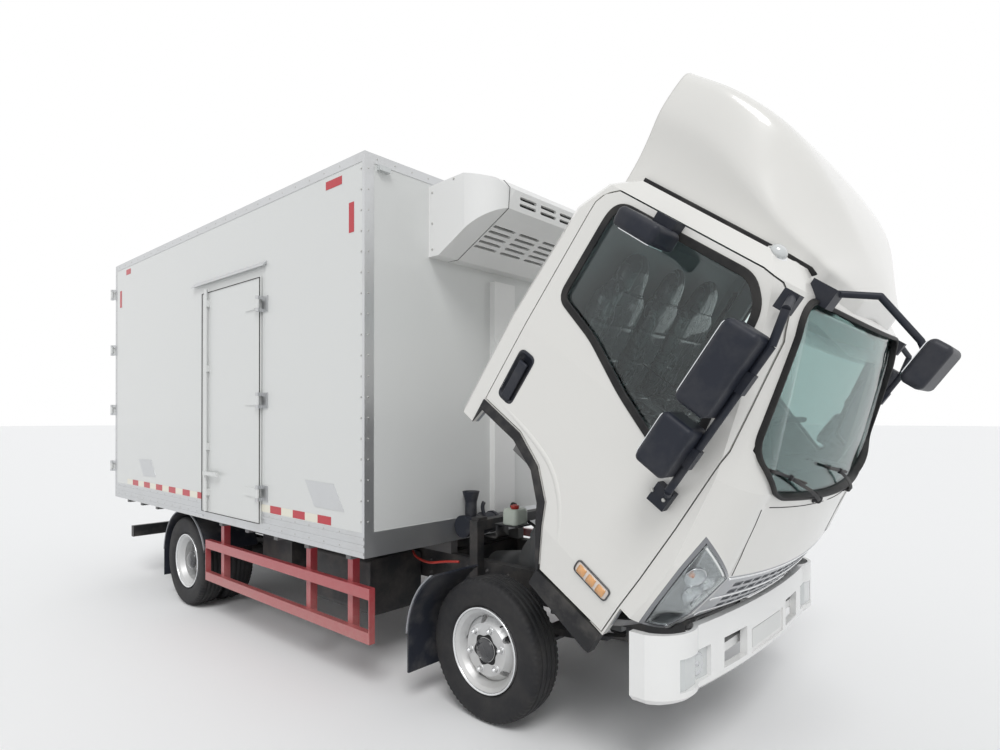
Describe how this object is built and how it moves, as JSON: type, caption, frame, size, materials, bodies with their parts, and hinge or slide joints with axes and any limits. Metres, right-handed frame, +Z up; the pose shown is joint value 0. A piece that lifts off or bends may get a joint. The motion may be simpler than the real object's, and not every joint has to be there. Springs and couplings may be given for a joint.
{
  "type": "refrigerated truck",
  "caption": "Light rigid truck with an insulated box, a front-mounted refrigeration unit and a tilting cab held forward over its bumper.",
  "frame": {"origin": "on the ground, below the middle of the overall length and width", "axes": "+X towards the truck's front, +Y to its left, +Z up"},
  "size_m": [6.8903, 2.43, 3.11],
  "materials": {
    "chassis_black": "semi-gloss black paint",
    "cast_black": "black painted casting",
    "spring_steel": "dark oxide paint",
    "engine_grey": "grey painted casting",
    "radiator_aluminium": "fins, dark from use",
    "exhaust_steel": "dull heat-marked steel",
    "tank_black": "satin black paint",
    "guard_red": "gloss crimson paint",
    "mudguard_plastic": "dark moulded plastic",
    "bumper_white": "gloss white paint",
    "lamp_clear": "clear lens over a bright reflector",
    "box_underframe": "dull mill finish",
    "panel_white": "smooth glass fibre skin",
    "trim_aluminium": "brushed extrusion",
    "portal_steel": "brushed stainless steel",
    "reefer_white": "gloss moulded cover",
    "rim_silver": "silver paint",
    "tyre": "rubber",
    "cab_underside": "grey primer and sound deadening",
    "cab_white": "gloss warm white paint",
    "cab_glass": "lightly tinted glass",
    "grille_silver": "silver mesh with bright strips",
    "trim_black": "grained black plastic",
    "deflector_white": "gloss white moulding",
    "dash_grey": "soft grey grained plastic",
    "seat_cloth": "dark grey cloth",
    "mirror_housing": "dark blue-grey plastic"
  },
  "bodies": {
    "chassis": {"frame_rails": "chassis_black", "crossmembers": "chassis_black", "rear_underrun": "chassis_black", "front_axle": "cast_black", "rear_axle": "cast_black", "leaf_springs": "spring_steel", "engine": "engine_grey", "radiator": "radiator_aluminium", "exhaust": "exhaust_steel", "chassis_boxes": "tank_black", "side_guards": "guard_red", "mudguards": "mudguard_plastic", "bumper": "bumper_white", "lamps": "lamp_clear", "cab_mounts": "chassis_black", "air_intake": "mudguard_plastic", "box_floor": "box_underframe", "box_roof": "panel_white", "box_front_wall": "panel_white", "box_left_wall": "panel_white", "box_right_wall": "panel_white", "box_trims": "trim_aluminium", "rear_portal": "portal_steel", "side_hinges": "portal_steel", "reefer_unit": "reefer_white"},
    "side_door": {"side_door": "panel_white"},
    "rear_door_left": {"rear_door_left": "panel_white"},
    "rear_door_right": {"rear_door_right": "panel_white"},
    "knuckle_left": {"knuckle_left": "cast_black"},
    "knuckle_right": {"knuckle_right": "cast_black"},
    "wheel_front_left": {"wheel_front_left": "rim_silver", "tyre_front_left": "tyre"},
    "wheel_front_right": {"wheel_front_right": "rim_silver", "tyre_front_right": "tyre"},
    "wheel_rear_left": {"wheel_rear_left": "rim_silver", "tyre_rear_left": "tyre"},
    "wheel_rear_right": {"wheel_rear_right": "rim_silver", "tyre_rear_right": "tyre"},
    "cab": {"cab_floor": "cab_underside", "cab_rear_wall": "cab_white", "cab_sides": "cab_white", "cab_roof": "cab_white", "cab_front": "cab_white", "cab_glass": "cab_glass", "headlamps": "lamp_clear", "grille": "grille_silver", "arch_trims": "trim_black", "wind_deflector": "deflector_white", "dashboard": "dash_grey", "steering_wheel": "trim_black", "seats": "seat_cloth", "front_mirror": "mirror_housing"},
    "cab_door_left": {"cab_door_left": "cab_white", "door_glass_left": "cab_glass", "door_mirrors_left": "mirror_housing"},
    "cab_door_right": {"cab_door_right": "cab_white", "door_glass_right": "cab_glass", "door_mirrors_right": "mirror_housing"}
  },
  "joints": [
    {"name": "steer_left", "type": "hinge", "parent": "chassis", "child": "knuckle_left", "pos_m": [1.442, 0.672, 0.376], "axis": [0, 0, 1], "range_deg": [-35, 35]},
    {"name": "steer_right", "type": "hinge", "parent": "chassis", "child": "knuckle_right", "pos_m": [1.442, -0.672, 0.376], "axis": [0, 0, 1], "range_deg": [-35, 35]},
    {"name": "roll_front_left", "type": "hinge", "parent": "knuckle_left", "child": "wheel_front_left", "pos_m": [1.442, 0.765, 0.376], "axis": [0, 1, 0], "continuous": true},
    {"name": "roll_front_right", "type": "hinge", "parent": "knuckle_right", "child": "wheel_front_right", "pos_m": [1.442, -0.765, 0.376], "axis": [0, 1, 0], "continuous": true},
    {"name": "roll_rear_left", "type": "hinge", "parent": "chassis", "child": "wheel_rear_left", "pos_m": [-1.858, 0.952, 0.376], "axis": [0, 1, 0], "continuous": true},
    {"name": "roll_rear_right", "type": "hinge", "parent": "chassis", "child": "wheel_rear_right", "pos_m": [-1.858, -0.952, 0.376], "axis": [0, 1, 0], "continuous": true},
    {"name": "cab_tilt", "type": "hinge", "parent": "chassis", "child": "cab", "pos_m": [2.417, 0, 0.67], "axis": [0, 1, 0], "range_deg": [-36, 0]},
    {"name": "cab_door_left", "type": "hinge", "parent": "cab", "child": "cab_door_left", "pos_m": [2.53221, 0.985, 1.1178], "axis": [-0.5878, 0, -0.809], "range_deg": [0, 72]},
    {"name": "cab_door_right", "type": "hinge", "parent": "cab", "child": "cab_door_right", "pos_m": [2.53221, -0.985, 1.1178], "axis": [0.5878, 0, 0.809], "range_deg": [0, 72]},
    {"name": "side_door", "type": "hinge", "parent": "chassis", "child": "side_door", "pos_m": [-0.375, -1.166, 1.716], "axis": [0, 0, 1], "range_deg": [0, 175]},
    {"name": "rear_door_left", "type": "hinge", "parent": "chassis", "child": "rear_door_left", "pos_m": [-3.43, 1.14, 1.95], "axis": [0, 0, -1], "range_deg": [0, 270]},
    {"name": "rear_door_right", "type": "hinge", "parent": "chassis", "child": "rear_door_right", "pos_m": [-3.43, -1.14, 1.95], "axis": [0, 0, 1], "range_deg": [0, 270]}
  ],
  "couplings": [
    {"joint": "steer_right", "follows": "steer_left", "ratio": 1}
  ]
}
